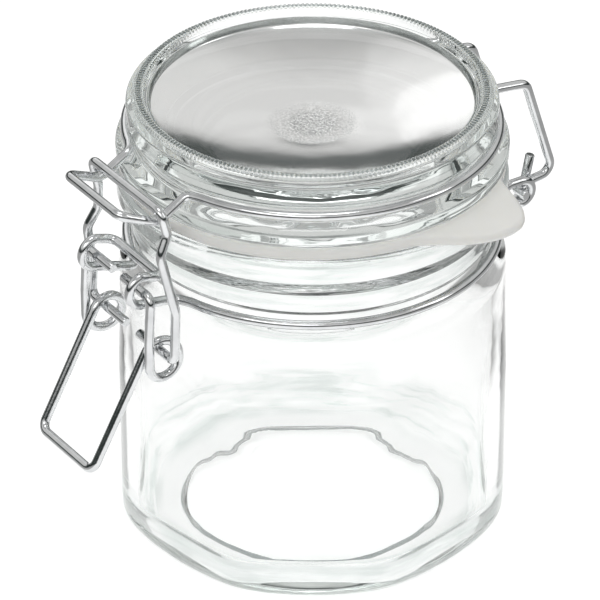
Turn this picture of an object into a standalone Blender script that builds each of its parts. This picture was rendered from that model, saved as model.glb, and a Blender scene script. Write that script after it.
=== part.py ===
"""Clip-top glass storage jar: an empty jar with a glass lid, a sealing ring and a wire clip.

Seven pieces: jar_body, lid, gasket, lid_wire, neck_wire, lever and bail.
The jar's axis is Z and its base stands on z = 0. The clip is at -Y and the hinge is at +Y.
Sizes are in millimetres up to the last step, which turns them into metres.
"""

import bmesh
import bpy
from math import acos, asin, ceil, cos, pi, radians, sin, tan

from mathutils import Vector

MM = 0.001
GAP = 0.3                       # left between touching pieces

# Jar body
SHOULDER_RADIUS = 47.5
PANEL_APOTHEM = 47.8            # axis to the middle of each of the eight flat panels
PANEL_COUNT = 8
PANEL_TURN = radians(-34.0)     # direction of the panel that faces the viewer
PANEL_SHARPNESS = 20.0          # higher gives crisper corners between the panels
PANEL_TOP = 50.0                # the panels fade out from here to the round shoulder
ROUND_FROM = 66.0
HEEL_RADIUS = 10.0
HEEL_ROUNDING = 0.8             # share of the octagon that is gone at the foot
SHOULDER_TOP = 78.6
NECK_RADIUS = 43.7
RIM_RADIUS = 47.7
RIM_TOP = 99.3
MOUTH_RADIUS = 38.2
WALL = 4.0
FLOOR_THICKNESS = 5.4
INNER_HEEL_RADIUS = 9.0
HEEL_STEPS = 5
PANEL_MIDDLE = 30.0
SHOULDER_ROUND = 5.5
SHOULDER_ROUND_HEIGHT = 72.6
# Outer profile from the neck's wire groove up to the rim, as (radius, height)
NECK_AND_RIM = [(NECK_RADIUS, SHOULDER_TOP), (NECK_RADIUS, 82.6), (44.6, 84.0), (44.6, 89.2),
                (45.6, 90.8), (47.0, 91.9), (RIM_RADIUS, 93.6), (RIM_RADIUS, 96.2),
                (47.1, 98.1), (45.8, RIM_TOP)]
# Inner profile from the mouth down to the inside of the shoulder
MOUTH = [(MOUTH_RADIUS + 1.2, RIM_TOP), (MOUTH_RADIUS, 98.1), (MOUTH_RADIUS, 84.0),
         (39.4, 79.0), (41.9, 75.3), (SHOULDER_RADIUS - WALL, 71.0),
         (SHOULDER_RADIUS - WALL, ROUND_FROM)]

# Gasket
GASKET_THICKNESS = 2.8
GASKET_EDGE = 0.6               # its edges are cut back by this much
GASKET_INNER = 38.8
GASKET_OUTER = 47.0
TAB_TURN = radians(25.0)
TAB_NEAR_ANGLE = radians(30.0)  # from the tip to where the tab starts, on the clip's side
TAB_FAR_ANGLE = radians(16.0)
TAB_REACH = 11.0
TAB_DROOP = 1.6
TAB_FULLNESS = 1.6              # higher gives a more pointed tab

# Lid
LID_BOTTOM = RIM_TOP + GASKET_THICKNESS + 2.0 * GAP
LID_TOP = 120.4
LID_FLANGE_RADIUS = 47.7
LID_RIM_RADIUS = 45.0
BEAD_RADIUS = 41.7
DISH_RADIUS = 39.2
DISH_EDGE = 115.9
DISH_CENTRE = 110.0
PLUG_RADIUS = 37.0
PLUG_DEPTH = 4.2
LID_THICKNESS = 5.0
LID_GROOVE_HEIGHT = 110.7
# Top bead, wire groove and flange, as (radius, height) from the dish outwards
LID_BEAD = [(DISH_RADIUS, DISH_EDGE), (39.7, 118.2), (40.5, 119.9), (BEAD_RADIUS, LID_TOP),
            (42.9, 119.9), (43.6, 118.9), (44.6, 118.0), (LID_RIM_RADIUS, 116.9)]
LID_GROOVE = [(LID_RIM_RADIUS, 113.6), (44.3, 112.5), (43.7, LID_GROOVE_HEIGHT),
              (44.3, 109.2), (45.6, 108.2)]
LID_FLANGE = [(46.9, 107.5), (LID_FLANGE_RADIUS, 106.2), (LID_FLANGE_RADIUS, 104.4),
              (46.9, 103.2), (45.9, LID_BOTTOM)]
# Plug that sits in the mouth, as (radius inside PLUG_RADIUS, height above its bottom)
LID_PLUG = [(0.4, 0.6), (1.2, 0.0), (3.4, 0.0), (4.6, 1.0), (6.0, 5.6), (9.0, 8.4)]

# Wires
WIRE_RADIUS = 1.2
RING_CLEARANCE = radians(4.5)   # a wire leaves its groove over this angle
SMALL_BEND = 2.4                # bend radii to the middle of the wire
BEND = 3.0
WIDE_BEND = 4.0
LID_WIRE_RING = 45.2
NECK_GROOVE_HEIGHT = 81.0
NECK_WIRE_RING = 45.4
EYELET_RADIUS = 3.8             # front eyelets, to the middle of the wire
EYELET_X = 10.6
EYELET_Y = -55.6
EYELET_Z = 87.3
PIVOT_Y = -55.8                 # lever axis, inside the neck wire's front eyelets
PIVOT_Z = 86.9
BAIL_PIN_Y = -52.1              # bail axis, inside the lever's coils
BAIL_PIN_Z = 70.2
HINGE_Y = 52.6                  # lid wire's pins in the rear eyelets
HINGE_Z = 80.6
LEVER_X = 14.4
LEVER_STUB_END_X = 2.2
COIL_Y = -51.9
COIL_Z = 68.2
COIL_RADIUS = 4.6
COIL_END_X = 11.7
HANDLE_SLANT = radians(29.0)    # handle's angle out from the vertical
HANDLE_LENGTH = 32.2
HANDLE_END_X = 11.6
BAIL_X = 18.7
BAIL_PIN_END_X = 2.8
BAIL_TOP_X = 15.4
BAIL_TOP_Y = -53.05
BAIL_TOP_Z = 110.0
# Bends up the bail's legs, as (x, y, z, bend radius). The two legs are bent differently.
BAIL_RIGHT_BENDS = [(18.2, -51.3, 83.6, 6.0), (16.8, -54.5, 99.3, 4.0),
                    (15.9, -51.8, 103.8, 3.0)]
BAIL_LEFT_BENDS = [(-18.3, -51.7, 78.0, 6.0), (-16.9, -54.0, 90.8, 4.0),
                   (-16.1, -51.2, 96.0, 3.0), (-15.8, -51.2, 102.0, 4.0)]
LID_LOOP_X = 12.6
LID_LOOP_END_Y = -62.2
LID_LOOP_END_Z = 110.4
LID_LOOP_VALLEY = (-52.4, 106.0)
LID_LOOP_START_Y = -44.2
REAR_LEG_X = 11.4
REAR_LEG_BENDS = [(55.4, 109.2), (64.4, 81.8)]
REAR_START_Y = 44.4
REAR_EYELET_X = 14.2
REAR_EYELET_RADIUS = 3.2
CROSSBAR_Y = -50.4              # between the neck wire's front eyelets
CROSSBAR_Z = 89.4
TAIL_X = REAR_LEG_X - 2.8
TAIL_Y = 57.4
TAIL_TOP = (59.4, 86.6)

# Fineness
TURN_STEPS = 56
WIRE_BEND_STEP = radians(30.0)
WIRE_RING_STEP = radians(9.0)
WIRE_BEVEL_RESOLUTION = 2


def clear_scene():
    for item in list(bpy.data.objects):
        bpy.data.objects.remove(item, do_unlink=True)


def material(name, colour, roughness, metallic=0.0, transmission=0.0):
    made = bpy.data.materials.new(name)
    made.use_nodes = True
    shader = made.node_tree.nodes["Principled BSDF"]
    shader.inputs["Base Color"].default_value = (*colour, 1.0)
    shader.inputs["Roughness"].default_value = roughness
    shader.inputs["Metallic"].default_value = metallic
    shader.inputs["Transmission Weight"].default_value = transmission
    return made


def add_mesh(name, verts, faces, finish):
    mesh = bpy.data.meshes.new(name)
    mesh.from_pydata([tuple(MM * value for value in vert) for vert in verts], [], faces)
    work = bmesh.new()
    work.from_mesh(mesh)
    bmesh.ops.recalc_face_normals(work, faces=work.faces)
    bmesh.ops.triangulate(work, faces=[face for face in work.faces if len(face.verts) == 4])
    work.to_mesh(mesh)
    work.free()
    mesh.shade_smooth()
    mesh.set_sharp_from_angle(angle=radians(40.0))
    made = bpy.data.objects.new(name, mesh)
    made.data.materials.append(finish)
    bpy.context.scene.collection.objects.link(made)
    return made


def arc(centre_r, centre_z, radius, start, end, steps):
    """Points of a circle's arc in the (radius, height) plane, angles in degrees."""
    points = []
    for step in range(steps + 1):
        angle = radians(start + (end - start) * step / steps)
        points.append((centre_r + radius * cos(angle), centre_z + radius * sin(angle)))
    return points


def panel_factor(angle):
    """Radius of the soft-cornered octagon over its apothem, in one direction."""
    total = 0.0
    for panel in range(PANEL_COUNT):
        facing = cos(angle - PANEL_TURN - 2.0 * pi * panel / PANEL_COUNT)
        total += max(facing, 0.0) ** PANEL_SHARPNESS
    return total ** (-1.0 / PANEL_SHARPNESS)


def smooth(value):
    value = min(max(value, 0.0), 1.0)
    return value * value * (3.0 - 2.0 * value)


def panel_weight(height):
    """1 where the wall is octagonal and 0 where it is round."""
    foot = HEEL_ROUNDING * max(0.0, 1.0 - height / HEEL_RADIUS)
    return 1.0 - foot - smooth((height - PANEL_TOP) / (ROUND_FROM - PANEL_TOP))


def jar_radius(radius, height, angle):
    return radius * (1.0 + panel_weight(height) * (panel_factor(angle) - 1.0))


def turned(name, profile, radius_at, finish):
    """A closed body of revolution. The profile runs from the axis to the axis."""
    verts = [(0.0, 0.0, profile[0][1])]
    rings = profile[1:-1]
    for radius, height in rings:
        for step in range(TURN_STEPS):
            angle = PANEL_TURN + 2.0 * pi * step / TURN_STEPS
            reach = radius_at(radius, height, angle)
            verts.append((reach * cos(angle), reach * sin(angle), height))
    verts.append((0.0, 0.0, profile[-1][1]))
    faces = []
    for step in range(TURN_STEPS):
        following = (step + 1) % TURN_STEPS
        faces.append((0, 1 + following, 1 + step))
        for ring in range(len(rings) - 1):
            low = 1 + ring * TURN_STEPS
            high = low + TURN_STEPS
            faces.append((low + step, low + following, high + following, high + step))
        last = 1 + (len(rings) - 1) * TURN_STEPS
        faces.append((last + step, last + following, len(verts) - 1))
    return add_mesh(name, verts, faces, finish)


def jar_profile():
    inner = PANEL_APOTHEM - WALL
    fade = ROUND_FROM - PANEL_TOP
    heel = arc(PANEL_APOTHEM - HEEL_RADIUS, HEEL_RADIUS, HEEL_RADIUS, -90.0, 0.0, HEEL_STEPS)
    wall = [(PANEL_APOTHEM, PANEL_MIDDLE), (PANEL_APOTHEM, PANEL_TOP)]
    for share in (0.3, 0.65, 1.0):
        wall.append((PANEL_APOTHEM + (SHOULDER_RADIUS - PANEL_APOTHEM) * share,
                     PANEL_TOP + fade * share))
    shoulder = arc(SHOULDER_RADIUS - SHOULDER_ROUND, SHOULDER_ROUND_HEIGHT, SHOULDER_ROUND,
                   -10.0, 62.0, 3)
    inside = [(inner, PANEL_TOP + 0.5 * fade), (inner, PANEL_TOP), (inner, PANEL_MIDDLE)]
    floor = arc(inner - INNER_HEEL_RADIUS, FLOOR_THICKNESS + INNER_HEEL_RADIUS,
                INNER_HEEL_RADIUS, 0.0, -90.0, HEEL_STEPS)
    return ([(0.0, 0.0)] + heel + wall + shoulder + NECK_AND_RIM + MOUTH + inside + floor
            + [(0.0, FLOOR_THICKNESS)])


def lid_profile():
    sag = DISH_EDGE - DISH_CENTRE
    dish = []
    for share in (0.35, 0.7, 0.9):
        dish.append((DISH_RADIUS * share, DISH_CENTRE + sag * share * share))
    plug_bottom = LID_BOTTOM - PLUG_DEPTH
    plug = [(PLUG_RADIUS + 0.9, LID_BOTTOM), (PLUG_RADIUS, LID_BOTTOM - 1.0)]
    plug += [(PLUG_RADIUS - inward, plug_bottom + up) for inward, up in LID_PLUG]
    underside = [(DISH_RADIUS * 0.4, DISH_CENTRE - LID_THICKNESS + 1.1)]
    return ([(0.0, DISH_CENTRE)] + dish + LID_BEAD + LID_GROOVE + LID_FLANGE + plug + underside
            + [(0.0, DISH_CENTRE - LID_THICKNESS)])


def tab_share(angle):
    """0 round the ring and 1 at the tip of the pull tab."""
    turn = (angle - TAB_TURN + pi) % (2.0 * pi) - pi
    off = turn / TAB_FAR_ANGLE if turn > 0.0 else -turn / TAB_NEAR_ANGLE
    if off >= 1.0:
        return 0.0
    return cos(0.5 * pi * off) ** TAB_FULLNESS


def make_gasket(finish):
    bottom = RIM_TOP + GAP
    top = bottom + GASKET_THICKNESS
    soft = GASKET_EDGE
    verts = []
    faces = []
    steps = 2 * TURN_STEPS
    for step in range(steps):
        angle = 2.0 * pi * step / steps
        share = tab_share(angle)
        outer = GASKET_OUTER + TAB_REACH * share
        droop = TAB_DROOP * share
        slim = soft * share
        section = [(GASKET_INNER, top), (GASKET_OUTER - soft, top),
                   (outer - soft, top - droop - slim), (outer, top - droop - slim - soft),
                   (outer, bottom - droop + soft), (outer - soft, bottom - droop),
                   (GASKET_OUTER - soft, bottom), (GASKET_INNER, bottom)]
        if share == 0.0:
            section[1] = (GASKET_OUTER - 2.0 * soft, top)
            section[6] = (GASKET_OUTER - 2.0 * soft, bottom)
        for radius, height in section:
            verts.append((radius * cos(angle), radius * sin(angle), height))
    count = len(section)
    for step in range(steps):
        following = (step + 1) % steps
        for index in range(count):
            nearby = (index + 1) % count
            faces.append((step * count + index, step * count + nearby,
                          following * count + nearby, following * count + index))
    return add_mesh("gasket", verts, faces, finish)


def rounded(corners):
    """A path through corners of (x, y, z, bend radius), with each bend as an arc."""
    points = [Vector(corners[0][:3])]
    for before, corner, after in zip(corners, corners[1:], corners[2:]):
        here = Vector(corner[:3])
        back = (Vector(before[:3]) - here).normalized()
        ahead = (Vector(after[:3]) - here).normalized()
        radius = corner[3]
        turn = pi - acos(max(-1.0, min(1.0, back.dot(ahead))))
        if radius == 0.0 or turn < radians(3.0):
            points.append(here)
            continue
        set_back = radius * tan(turn / 2.0)
        middle = here + (back + ahead).normalized() * radius / cos(turn / 2.0)
        first = here + back * set_back - middle
        last = here + ahead * set_back - middle
        steps = max(1, ceil(turn / WIRE_BEND_STEP))
        for step in range(steps + 1):
            share = step / steps
            points.append(middle + (first * sin((1.0 - share) * turn)
                                    + last * sin(share * turn)) / sin(turn))
    points.append(Vector(corners[-1][:3]))
    return points


def ring_arc(radius, height, start, end):
    """Points round the jar's axis, angles in radians."""
    steps = ceil(abs(end - start) / WIRE_RING_STEP)
    return [Vector((radius * cos(start + (end - start) * step / steps),
                    radius * sin(start + (end - start) * step / steps), height))
            for step in range(steps + 1)]


def mirrored(points):
    return [Vector((-point.x, point.y, point.z)) for point in reversed(points)]


def add_wire(name, points, finish):
    curve = bpy.data.curves.new(name, "CURVE")
    curve.dimensions = "3D"
    curve.bevel_depth = WIRE_RADIUS * MM
    curve.bevel_resolution = WIRE_BEVEL_RESOLUTION
    curve.use_fill_caps = True
    spline = curve.splines.new("POLY")
    spline.points.add(len(points) - 1)
    for place, point in zip(spline.points, points):
        place.co = (point.x * MM, point.y * MM, point.z * MM, 1.0)
    spline.use_smooth = True
    made = bpy.data.objects.new(name, curve)
    curve.materials.append(finish)
    bpy.context.scene.collection.objects.link(made)
    return made


def side_arc(x, centre_y, centre_z, radius, outward):
    """Half a turn round an eyelet, from its top to its bottom, without its two ends.
    outward is -1.0 at the clip and 1.0 at the hinge."""
    turns = [radians(turn) for turn in range(30, 180, 30)]
    return [Vector((x, centre_y + outward * radius * sin(turn), centre_z + radius * cos(turn)))
            for turn in turns]


def lid_wire_points():
    ring = LID_WIRE_RING
    height = LID_GROOVE_HEIGHT
    front_angle = -pi / 2.0 + asin(LID_LOOP_X / ring) + RING_CLEARANCE
    rear_angle = pi / 2.0 - asin(REAR_LEG_X / ring) - RING_CLEARANCE
    front = [(0.0, LID_LOOP_END_Y, LID_LOOP_END_Z, 0.0),
             (LID_LOOP_X - 0.8, LID_LOOP_END_Y, LID_LOOP_END_Z, SMALL_BEND),
             (LID_LOOP_X, *LID_LOOP_VALLEY, WIDE_BEND),
             (LID_LOOP_X, LID_LOOP_START_Y, height, SMALL_BEND),
             (ring * cos(front_angle), ring * sin(front_angle), height, 0.0)]
    rear = [(ring * cos(rear_angle), ring * sin(rear_angle), height, 0.0),
            (REAR_LEG_X, REAR_START_Y, height, SMALL_BEND),
            (REAR_LEG_X, *REAR_LEG_BENDS[0], BEND),
            (REAR_LEG_X, *REAR_LEG_BENDS[1], BEND),
            (REAR_LEG_X, HINGE_Y, HINGE_Z, 1.5),
            (REAR_EYELET_X + 2.0 * WIRE_RADIUS, HINGE_Y, HINGE_Z, 0.0)]
    side = rounded(front)[:-1] + ring_arc(ring, height, front_angle, rear_angle) + rounded(rear)[1:]
    return mirrored(side) + side[1:]


def neck_wire_points():
    ring = NECK_WIRE_RING
    height = NECK_GROOVE_HEIGHT
    front_x = EYELET_X - 1.4
    rear_x = REAR_EYELET_X - 0.2
    front_angle = -pi / 2.0 + asin(front_x / ring) + RING_CLEARANCE
    rear_angle = pi / 2.0 - asin(rear_x / ring) - RING_CLEARANCE
    start = rounded([(0.0, CROSSBAR_Y, CROSSBAR_Z, 0.0),
                     (EYELET_X, CROSSBAR_Y, CROSSBAR_Z, 2.2),
                     (EYELET_X, EYELET_Y, EYELET_Z + EYELET_RADIUS, 0.0)])
    eyelet = side_arc(EYELET_X, EYELET_Y, EYELET_Z, EYELET_RADIUS, -1.0)
    into_groove = rounded([(EYELET_X, EYELET_Y, EYELET_Z - EYELET_RADIUS, 0.0),
                           (front_x + 0.6, -50.6, 82.2, WIDE_BEND),
                           (front_x, -45.8, height, SMALL_BEND),
                           (ring * cos(front_angle), ring * sin(front_angle), height, 0.0)])
    out_of_groove = rounded([(ring * cos(rear_angle), ring * sin(rear_angle), height, 0.0),
                             (rear_x, REAR_START_Y, height, SMALL_BEND),
                             (REAR_EYELET_X, 48.6, HINGE_Z + REAR_EYELET_RADIUS, BEND),
                             (REAR_EYELET_X, HINGE_Y, HINGE_Z + REAR_EYELET_RADIUS, 0.0)])
    loop = side_arc(REAR_EYELET_X, HINGE_Y, HINGE_Z, REAR_EYELET_RADIUS, 1.0)
    tail = rounded([(REAR_EYELET_X, HINGE_Y, HINGE_Z - REAR_EYELET_RADIUS, 0.0),
                    (REAR_EYELET_X - 1.0, HINGE_Y - 1.6, HINGE_Z - REAR_EYELET_RADIUS, 0.0),
                    (TAIL_X, TAIL_Y, HINGE_Z - REAR_EYELET_RADIUS, 2.0),
                    (TAIL_X, *TAIL_TOP, 0.0)])
    side = (start + eyelet + into_groove[:-1] + ring_arc(ring, height, front_angle, rear_angle)
            + out_of_groove[1:] + loop + tail)
    return mirrored(side) + side[1:]


def lever_points():
    sweep = 2.0 * pi - HANDLE_SLANT
    steps = 13
    stub = rounded([(LEVER_STUB_END_X, PIVOT_Y, PIVOT_Z, 0.0),
                    (LEVER_X, PIVOT_Y, PIVOT_Z, 2.2),
                    (LEVER_X, COIL_Y - COIL_RADIUS, COIL_Z + 7.0, WIDE_BEND),
                    (LEVER_X, COIL_Y - COIL_RADIUS, COIL_Z + 2.0, 0.0)])
    coil = []
    for step in range(steps + 1):
        turn = sweep * step / steps
        coil.append(Vector((LEVER_X + (COIL_END_X - LEVER_X) * step / steps,
                            COIL_Y - COIL_RADIUS * cos(turn), COIL_Z - COIL_RADIUS * sin(turn))))
    leave = coil[-1]
    end_y = leave.y - HANDLE_LENGTH * sin(HANDLE_SLANT)
    end_z = leave.z - HANDLE_LENGTH * cos(HANDLE_SLANT)
    handle = rounded([(*leave, 0.0), (HANDLE_END_X, end_y, end_z, 2.6), (0.0, end_y, end_z, 0.0)])
    side = stub + coil + handle[1:]
    return side + mirrored(side)[1:]


def bail_points():
    left_end = [(-BAIL_PIN_END_X, BAIL_PIN_Y, BAIL_PIN_Z, 0.0),
                (-BAIL_X, BAIL_PIN_Y, BAIL_PIN_Z, 2.2)]
    right_end = [(BAIL_X, BAIL_PIN_Y, BAIL_PIN_Z, 2.2),
                 (BAIL_PIN_END_X, BAIL_PIN_Y, BAIL_PIN_Z, 0.0)]
    crossbar = [(-BAIL_TOP_X, BAIL_TOP_Y, BAIL_TOP_Z, SMALL_BEND),
                (BAIL_TOP_X, BAIL_TOP_Y, BAIL_TOP_Z, SMALL_BEND)]
    return rounded(left_end + BAIL_LEFT_BENDS + crossbar + BAIL_RIGHT_BENDS[::-1] + right_end)


def build():
    clear_scene()
    glass = material("clear_glass", (0.93, 0.96, 0.95), 0.03, transmission=1.0)
    silicone = material("silicone", (0.82, 0.81, 0.77), 0.55)
    steel = material("bright_wire", (0.78, 0.79, 0.8), 0.25, metallic=1.0)

    turned("jar_body", jar_profile(), jar_radius, glass)
    turned("lid", lid_profile(), lambda radius, height, angle: radius, glass)
    make_gasket(silicone)
    add_wire("lid_wire", lid_wire_points(), steel)
    add_wire("neck_wire", neck_wire_points(), steel)
    add_wire("lever", lever_points(), steel)
    add_wire("bail", bail_points(), steel)


build()
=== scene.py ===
from math import acos, asin, ceil, cos, pi, radians, sin, tan

import bmesh
import bpy
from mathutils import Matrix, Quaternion, Vector


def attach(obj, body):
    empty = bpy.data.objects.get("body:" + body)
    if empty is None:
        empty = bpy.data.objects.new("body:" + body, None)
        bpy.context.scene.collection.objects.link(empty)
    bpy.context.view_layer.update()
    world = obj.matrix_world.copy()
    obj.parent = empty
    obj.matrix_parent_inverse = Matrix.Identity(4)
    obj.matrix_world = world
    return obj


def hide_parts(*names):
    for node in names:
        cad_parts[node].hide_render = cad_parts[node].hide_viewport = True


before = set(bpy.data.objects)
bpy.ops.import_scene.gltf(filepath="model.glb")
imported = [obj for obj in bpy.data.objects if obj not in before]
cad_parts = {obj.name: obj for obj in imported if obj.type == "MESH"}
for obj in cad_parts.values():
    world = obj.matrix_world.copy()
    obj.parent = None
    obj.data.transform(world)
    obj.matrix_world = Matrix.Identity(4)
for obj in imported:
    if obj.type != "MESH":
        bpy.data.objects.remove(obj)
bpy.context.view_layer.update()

# The object: an empty clip-top glass jar. Its axis is Z, the clip is at -Y and the hinge at +Y.
# Lengths below are in millimetres and are turned into metres where a mesh or curve is made.
MM = 0.001

# Camera, fitted to the lid's ring, the jar's outline and the wire clip in the photograph
CAMERA_AZIMUTH = radians(56.0)
CAMERA_PITCH = radians(31.65)
CAMERA_DISTANCE = 1.2
CAMERA_TARGET_HEIGHT = 0.0601
CAMERA_LENS = 291.9
SENSOR_WIDTH = 36.0
PHOTO_SIZE = 600.0
AXIS_PIXEL_X = 312.5            # the jar's axis in the photograph

# Jar body
SHOULDER_RADIUS = 47.5
PANEL_APOTHEM = 47.8
PANEL_COUNT = 8
PANEL_TURN = radians(-34.0)
PANEL_SHARPNESS = 20.0
PANEL_TOP = 50.0
ROUND_FROM = 66.0
HEEL_RADIUS = 10.0
HEEL_ROUNDING = 0.8             # share of the octagon that is gone at the foot
NECK_RADIUS = 43.7
RIM_RADIUS = 47.7
RIM_TOP = 99.3
MOUTH_RADIUS = 38.2
WALL = 4.0
FLOOR_THICKNESS = 5.4
INNER_FLOOR_RADIUS = 38.6       # where the floor turns up
INNER_HEEL_TOP = 12.5           # height at which it meets the wall
PUSH_UP = 2.0                   # hollow under the foot
PUSH_UP_RADIUS = 31.5
PUSH_UP_STEP = 1.1              # height of the step inside the ring that the jar stands on

# Gasket
GAP = 0.3
GASKET_THICKNESS = 2.8
GASKET_INNER = 38.8
GASKET_OUTER = 47.0
TAB_TURN = radians(25.0)
TAB_NEAR_ANGLE = radians(30.0)  # from the tip to where the tab starts, on the clip's side
TAB_FAR_ANGLE = radians(16.0)
TAB_REACH = 11.0
TAB_DROOP = 1.6

# Lid
LID_BOTTOM = RIM_TOP + GASKET_THICKNESS + 2.0 * GAP
LID_TOP = 120.4
LID_FLANGE_RADIUS = 47.7
LID_RIM_RADIUS = 45.0
DISH_RADIUS = 39.2
DISH_EDGE = 115.9
DISH_CENTRE = 110.0
DISH_LIP = 118.5                # top of the short wall round the dish
SPOT_RADIUS = 10.5              # shallow round recess in the middle of the dish
SPOT_DEPTH = 0.2
PLUG_RADIUS = 37.0
PLUG_DEPTH = 4.2
LID_THICKNESS = 5.0
TEETH = 240                     # fine teeth pressed into the top bead
TOOTH_DEPTH = 0.5

# Wires
WIRE_RADIUS = 1.2
LID_GROOVE_HEIGHT = 110.7
RING_CLEARANCE = radians(4.5)   # a wire leaves its groove over this angle
SMALL_BEND = 2.4                # bend radii to the middle of the wire
BEND = 3.0
WIDE_BEND = 4.0
LID_WIRE_RING = 45.2
NECK_GROOVE_HEIGHT = 81.0
NECK_WIRE_RING = 45.4
EYELET_RADIUS = 3.8             # front eyelets
EYELET_X = 10.6
EYELET_Y = -55.6
EYELET_Z = 87.3
PIVOT_Y = -55.8                 # lever axis
PIVOT_Z = 86.9
BAIL_PIN_Y = -52.1              # bail axis
BAIL_PIN_Z = 70.2
HINGE_Y = 52.6
HINGE_Z = 80.6
LEVER_X = 14.4
LEVER_STUB_END_X = 2.2
COIL_Y = -51.9
COIL_Z = 68.2
COIL_RADIUS = 4.6
COIL_END_X = 11.7
HANDLE_SLANT = radians(29.0)
HANDLE_LENGTH = 32.2
HANDLE_END_X = 11.6
BAIL_X = 18.7
BAIL_PIN_END_X = 2.8
BAIL_TOP_X = 15.4
BAIL_TOP_Y = -53.05
BAIL_TOP_Z = 110.0
# Bends up the bail's legs, as (x, y, z, bend radius). The two legs are bent differently.
BAIL_RIGHT_BENDS = [(18.2, -51.3, 83.6, 6.0), (16.8, -54.5, 99.3, 4.0),
                    (15.9, -51.8, 103.8, 3.0)]
BAIL_LEFT_BENDS = [(-18.3, -51.7, 78.0, 6.0), (-16.9, -54.0, 90.8, 4.0),
                   (-16.1, -51.2, 96.0, 3.0), (-15.8, -51.2, 102.0, 4.0)]
LID_LOOP_X = 12.6
LID_LOOP_END_Y = -62.2
LID_LOOP_END_Z = 110.4
LID_LOOP_VALLEY = (-52.4, 106.0)
LID_LOOP_START_Y = -44.2
REAR_LEG_X = 11.4
REAR_LEG_BENDS = [(55.4, 109.2), (64.4, 81.8)]
REAR_START_Y = 44.4
REAR_EYELET_X = 14.2
REAR_EYELET_RADIUS = 3.2
CROSSBAR_Y = -50.4              # between the neck wire's front eyelets
CROSSBAR_Z = 89.4
TAIL_X = REAR_LEG_X - 2.8
TAIL_Y = 57.4
TAIL_TOP = (59.4, 86.6)
END_CHAMFER = 0.25

# Painted light on the floor, in metres: a glowing white lane that ends behind the jar and widens in
# front of it
LANE_HALF_WIDTH = 0.10
LANE_FRONT_WIDTH = 0.22         # half its width at its front end
LANE_FRONT = 0.60
LANE_BACK = 0.28
LANE_PAINTED_LIGHT = 0.80
FLOOR_AWAY = 0.55
LANE_PAINTED_GLOW = 0.50

# Fineness
BODY_STEPS = 256
LID_STEPS = TEETH * 3
GASKET_STEPS = 240
BEND_STEP = radians(9.0)
LID_BEND_STEP = radians(16.0)
RING_STEP = radians(2.5)
WIRE_BEVEL_RESOLUTION = 6


# Shapes

def link(made):
    bpy.context.scene.collection.objects.link(made)
    return made


def mesh_piece(name, verts, faces, finish):
    mesh = bpy.data.meshes.new(name)
    mesh.from_pydata([tuple(MM * value for value in vert) for vert in verts], [], faces)
    work = bmesh.new()
    work.from_mesh(mesh)
    bmesh.ops.recalc_face_normals(work, faces=work.faces)
    work.to_mesh(mesh)
    work.free()
    mesh.shade_smooth()
    mesh.materials.append(finish)
    return link(bpy.data.objects.new(name, mesh))


def rounded(corners, bend_step=BEND_STEP):
    """A path through corners of (x, y, z, bend radius), with each bend as an arc."""
    points = [Vector(corners[0][:3])]
    for before, corner, after in zip(corners, corners[1:], corners[2:]):
        here = Vector(corner[:3])
        back = (Vector(before[:3]) - here).normalized()
        ahead = (Vector(after[:3]) - here).normalized()
        radius = corner[3]
        turn = pi - acos(max(-1.0, min(1.0, back.dot(ahead))))
        if radius == 0.0 or turn < radians(1.0):
            points.append(here)
            continue
        set_back = radius * tan(turn / 2.0)
        middle = here + (back + ahead).normalized() * radius / cos(turn / 2.0)
        first = here + back * set_back - middle
        last = here + ahead * set_back - middle
        steps = max(1, ceil(turn / bend_step))
        for step in range(steps + 1):
            share = step / steps
            points.append(middle + (first * sin((1.0 - share) * turn)
                                    + last * sin(share * turn)) / sin(turn))
    points.append(Vector(corners[-1][:3]))
    return points


def outline(corners, bend_step=BEND_STEP):
    """A profile through corners of (radius, height, bend radius), as (radius, height) pairs."""
    return [(point.x, point.z) for point in rounded([(r, 0.0, z, bend) for r, z, bend in corners],
                                                    bend_step)]


def smooth(value):
    value = min(max(value, 0.0), 1.0)
    return value * value * (3.0 - 2.0 * value)


def panel_factor(angle):
    """Radius of the soft-cornered octagon over its apothem, in one direction."""
    total = 0.0
    for panel in range(PANEL_COUNT):
        facing = cos(angle - PANEL_TURN - 2.0 * pi * panel / PANEL_COUNT)
        total += max(facing, 0.0) ** PANEL_SHARPNESS
    return total ** (-1.0 / PANEL_SHARPNESS)


def turned(name, profile, steps, place, finish):
    """A closed body of revolution. The profile runs from the axis to the axis, and place gives
    the radius and height of each of its points at each angle."""
    verts = [(0.0, 0.0, profile[0][1])]
    rings = profile[1:-1]
    angles = [2.0 * pi * step / steps for step in range(steps)]
    for radius, height in rings:
        for angle in angles:
            reach, level = place(radius, height, angle)
            verts.append((reach * cos(angle), reach * sin(angle), level))
    verts.append((0.0, 0.0, profile[-1][1]))
    faces = []
    last = 1 + (len(rings) - 1) * steps
    for step in range(steps):
        following = (step + 1) % steps
        faces.append((0, 1 + following, 1 + step))
        for ring in range(len(rings) - 1):
            low = 1 + ring * steps
            high = low + steps
            faces.append((low + step, low + following, high + following, high + step))
        faces.append((last + step, last + following, len(verts) - 1))
    return mesh_piece(name, verts, faces, finish)


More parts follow.
